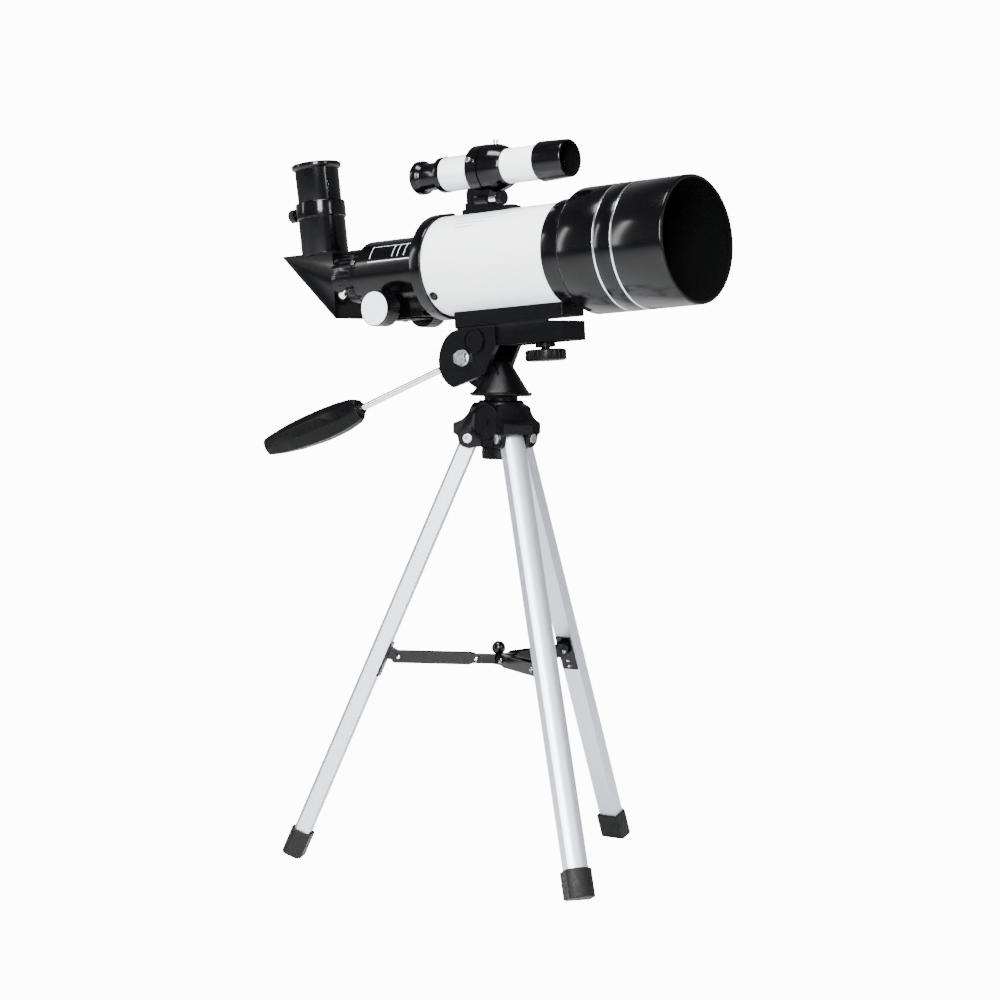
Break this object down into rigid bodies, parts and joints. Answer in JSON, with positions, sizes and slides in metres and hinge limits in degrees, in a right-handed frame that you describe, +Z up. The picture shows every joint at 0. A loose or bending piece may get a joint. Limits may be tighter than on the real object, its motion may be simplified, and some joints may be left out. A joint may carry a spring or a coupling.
{
  "type": "telescope on tripod",
  "caption": "Small refractor telescope with finder, star diagonal and rack focuser on a pan-and-tilt table tripod with folding aluminium legs.",
  "frame": {"origin": "on the floor under the tripod axis", "axes": "+X the way the telescope points, +Z up"},
  "size_m": [0.3927, 0.2407, 0.5155],
  "materials": {
    "white_paint": "gloss",
    "black_paint": "satin",
    "black_plastic": "satin",
    "gloss_black": "gloss",
    "leg_aluminium": "satin",
    "bare_aluminium": "brushed",
    "chrome": "polished",
    "steel": "brushed",
    "rubber_foot": "matte",
    "cork_pad": "matte",
    "grip": "satin",
    "knob_cap": "satin",
    "optical_glass": "polished",
    "mirror": "polished"
  },
  "bodies": {
    "crown": {"crown": "black_plastic", "leg_pivot_bolts": "black_paint"},
    "pan": {"pan_shaft": "black_plastic", "pan_base": "black_plastic"},
    "tilt": {"tilt_head": "black_plastic", "deck_pad": "cork_pad", "tilt_bolt": "steel", "tube_saddle": "black_plastic", "main_tube": "white_paint", "rear_cell": "black_plastic", "cell_screws": "black_paint", "front_cell": "black_plastic", "objective_crown": "optical_glass", "objective_flint": "optical_glass", "lens_ring": "black_plastic", "focuser_housing": "black_plastic", "pinion_cover": "black_plastic", "finder_bracket": "black_plastic", "finder_adjusters": "chrome", "finder_tube": "white_paint", "finder_shade": "black_plastic", "finder_objective": "optical_glass"},
    "deck_screw": {"deck_knob": "gloss_black"},
    "handle": {"handle_rod": "chrome", "handle_grip": "grip"},
    "dew_shield": {"dew_shield": "black_plastic", "shield_trim_rings": "bare_aluminium"},
    "drawtube": {"drawtube": "black_paint", "drawtube_collar": "black_plastic", "drawtube_setscrew": "chrome"},
    "pinion": {"pinion_shaft": "steel", "focus_knobs": "gloss_black", "focus_knob_caps": "knob_cap"},
    "nose_screw": {"nose_thumbscrew": "chrome"},
    "diagonal": {"diagonal_body": "gloss_black", "diagonal_mirror": "mirror", "eyepiece_holder": "black_plastic"},
    "holder_screw": {"holder_thumbscrew": "gloss_black"},
    "eyepiece": {"eyepiece_body": "gloss_black", "eyepiece_lenses": "optical_glass"},
    "finder_eyepiece": {"finder_eyepiece": "black_plastic", "finder_eye_lens": "optical_glass"},
    "finder_screw": {"finder_thumbscrew": "gloss_black"},
    "hub": {"spreader_hub": "black_plastic", "hub_knob": "gloss_black"},
    "leg_1": {"leg_tube_1": "leg_aluminium", "leg_plug_1": "black_plastic", "foot_cap_1": "rubber_foot", "spreader_bracket_1": "steel"},
    "arm_1": {"spreader_arm_1": "black_paint"},
    "leg_2": {"leg_tube_2": "leg_aluminium", "leg_plug_2": "black_plastic", "foot_cap_2": "rubber_foot", "spreader_bracket_2": "steel"},
    "arm_2": {"spreader_arm_2": "black_paint"},
    "leg_3": {"leg_tube_3": "leg_aluminium", "leg_plug_3": "black_plastic", "foot_cap_3": "rubber_foot", "spreader_bracket_3": "steel"},
    "arm_3": {"spreader_arm_3": "black_paint"}
  },
  "joints": [
    {"name": "pan_turn", "type": "hinge", "parent": "crown", "child": "pan", "pos_m": [0, 0, 0.31], "axis": [0, 0, 1], "continuous": true},
    {"name": "tilt_nod", "type": "hinge", "parent": "pan", "child": "tilt", "pos_m": [-0.023, 0, 0.3607], "axis": [0, -1, 0], "range_deg": [-18, 40]},
    {"name": "handle_twist", "type": "hinge", "parent": "tilt", "child": "handle", "pos_m": [-0.05123, 0, 0.35349], "axis": [-0.9317, 0, -0.3633], "range_deg": [0, 180]},
    {"name": "deck_screw_turn", "type": "hinge", "parent": "tilt", "child": "deck_screw", "pos_m": [0.03932, 0, 0.36539], "axis": [-0.075, 0, 0.9972], "continuous": true},
    {"name": "shield_slide", "type": "slide", "parent": "tilt", "child": "dew_shield", "axis": [0.9972, 0, 0.075], "range_m": [0, 0.016]},
    {"name": "drawtube_slide", "type": "slide", "parent": "tilt", "child": "drawtube", "axis": [-0.9972, 0, -0.075], "range_m": [0, 0.043]},
    {"name": "focus_turn", "type": "hinge", "parent": "tilt", "child": "pinion", "pos_m": [-0.0898, 0, 0.39559], "axis": [0, -1, 0], "range_deg": [0, 440]},
    {"name": "nose_screw_turn", "type": "hinge", "parent": "drawtube", "child": "nose_screw", "pos_m": [-0.13034, -0.02017, 0.40658], "axis": [0.0406, -0.8406, -0.5402], "range_deg": [0, 360]},
    {"name": "diagonal_turn", "type": "hinge", "parent": "drawtube", "child": "diagonal", "pos_m": [-0.13471, 0, 0.41929], "axis": [-0.9972, 0, -0.075], "range_deg": [-120, 120]},
    {"name": "eyepiece_slide", "type": "slide", "parent": "diagonal", "child": "eyepiece", "axis": [-0.1478, 0, 0.989], "range_m": [0, 0.022]},
    {"name": "holder_screw_turn", "type": "hinge", "parent": "diagonal", "child": "holder_screw", "pos_m": [-0.19688, 0, 0.46536], "axis": [-0.989, 0, -0.1478], "range_deg": [0, 360]},
    {"name": "finder_focus", "type": "slide", "parent": "tilt", "child": "finder_eyepiece", "axis": [-0.9972, 0, -0.075], "range_m": [0, 0.004]},
    {"name": "finder_screw_turn", "type": "hinge", "parent": "tilt", "child": "finder_screw", "pos_m": [0.00461, -0.008, 0.47359], "axis": [0.9972, 0, 0.075], "range_deg": [0, 360]},
    {"name": "leg_1_fold", "type": "hinge", "parent": "crown", "child": "leg_1", "pos_m": [0.01905, -0.011, 0.304], "axis": [0.5, 0.866, 0], "range_deg": [0, 16]},
    {"name": "leg_2_fold", "type": "hinge", "parent": "crown", "child": "leg_2", "pos_m": [0, 0.022, 0.304], "axis": [-1, 0, 0], "range_deg": [0, 16]},
    {"name": "leg_3_fold", "type": "hinge", "parent": "crown", "child": "leg_3", "pos_m": [-0.01905, -0.011, 0.304], "axis": [0.5, -0.866, 0], "range_deg": [0, 16]},
    {"name": "arm_1_swing", "type": "hinge", "parent": "leg_1", "child": "arm_1", "pos_m": [0.06192, -0.03575, 0.147], "axis": [0.5, 0.866, 0], "range_deg": [0, 62.88]},
    {"name": "arm_2_swing", "type": "hinge", "parent": "leg_2", "child": "arm_2", "pos_m": [0, 0.0715, 0.147], "axis": [-1, 0, 0], "range_deg": [0, 62.88]},
    {"name": "arm_3_swing", "type": "hinge", "parent": "leg_3", "child": "arm_3", "pos_m": [-0.06192, -0.03575, 0.147], "axis": [0.5, -0.866, 0], "range_deg": [0, 62.88]},
    {"name": "hub_rise", "type": "slide", "parent": "crown", "child": "hub", "axis": [0, 0, 1], "range_m": [0, 0.04741]}
  ],
  "couplings": [
    {"joint": "focus_turn", "follows": "drawtube_slide", "rad_per_m": 178.57},
    {"joint": "leg_2_fold", "follows": "leg_1_fold", "ratio": 1},
    {"joint": "leg_3_fold", "follows": "leg_1_fold", "ratio": 1},
    {"joint": "hub_rise", "follows": "leg_1_fold", "m_per_rad": 0.16969},
    {"joint": "arm_1_swing", "follows": "leg_1_fold", "ratio": 3.9295},
    {"joint": "arm_2_swing", "follows": "leg_1_fold", "ratio": 3.9295},
    {"joint": "arm_3_swing", "follows": "leg_1_fold", "ratio": 3.9295}
  ]
}
